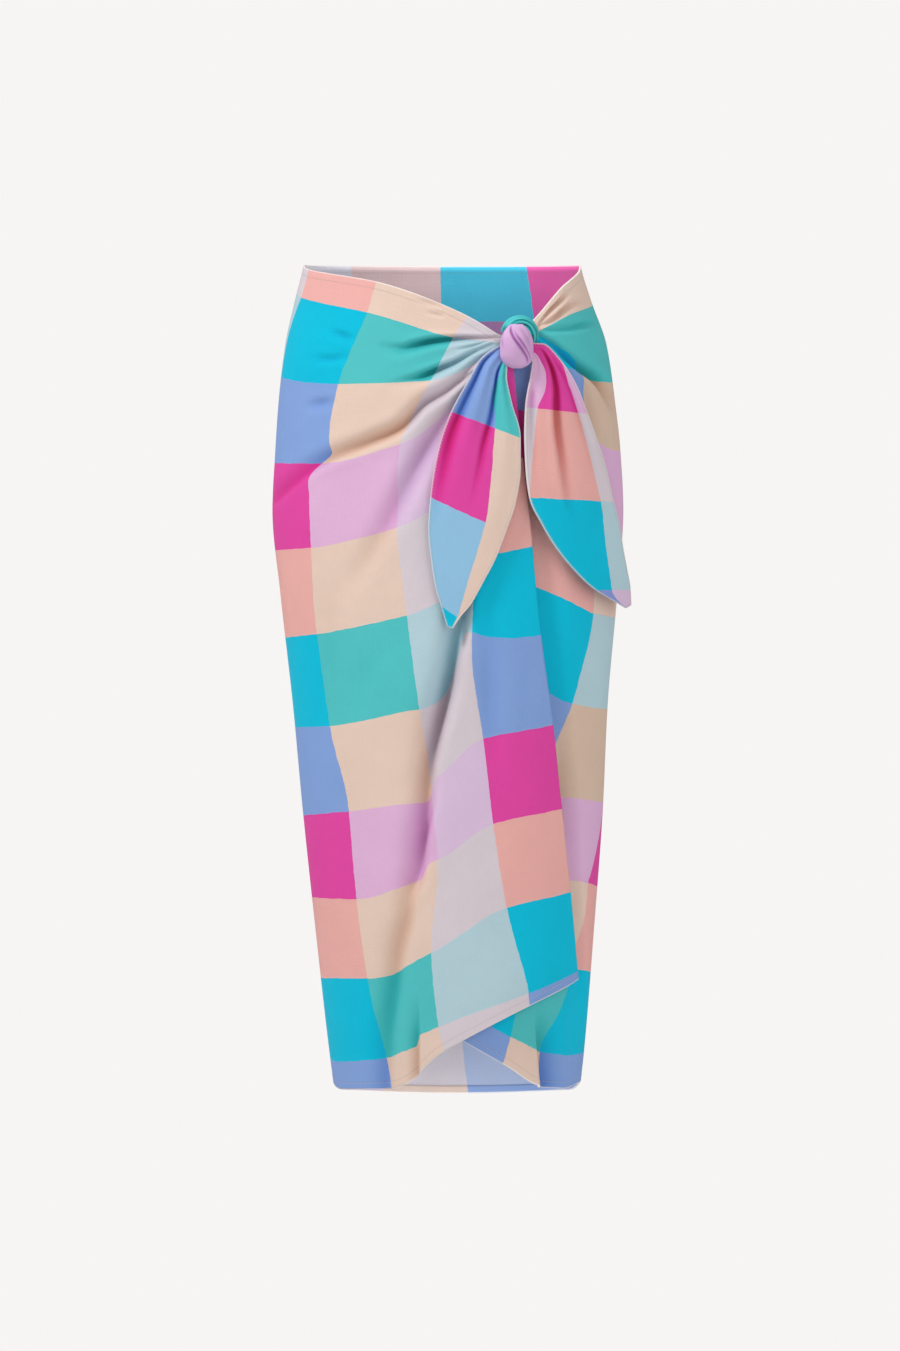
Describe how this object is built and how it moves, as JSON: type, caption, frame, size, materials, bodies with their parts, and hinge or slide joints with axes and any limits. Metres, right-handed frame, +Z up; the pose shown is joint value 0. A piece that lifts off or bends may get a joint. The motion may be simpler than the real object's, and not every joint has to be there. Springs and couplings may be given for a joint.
{
  "type": "sarong",
  "caption": "Checked cotton wrap sarong in its worn, hollow form, wound round the hips and knotted at the front with its corners hanging",
  "frame": {"origin": "middle of the waist opening, level with the top edge of the back, where the wearer's waist holds the cloth", "axes": "+Z up along the body towards the waist, -Y to the front where the knot is, +X to the viewer's right seen from the front"},
  "size_m": [0.366, 0.2437, 0.846],
  "materials": {
    "back": "plain-weave cotton, large multicolour checks, matt",
    "under_front": "plain-weave cotton, large multicolour checks, matt",
    "over_front": "plain-weave cotton, large multicolour checks, matt",
    "knot_band": "plain-weave cotton, green check, tightly gathered",
    "knot_wrap": "plain-weave cotton, lilac check, tightly gathered",
    "tail_left": "plain-weave cotton, checked, narrow rolled hem",
    "tail_right": "plain-weave cotton, checked, narrow rolled hem"
  },
  "bodies": {
    "root": {"back": "back", "under_front": "under_front", "over_front": "over_front", "knot_band": "knot_band", "knot_wrap": "knot_wrap", "tail_left": "tail_left", "tail_right": "tail_right"}
  },
  "joints": []
}
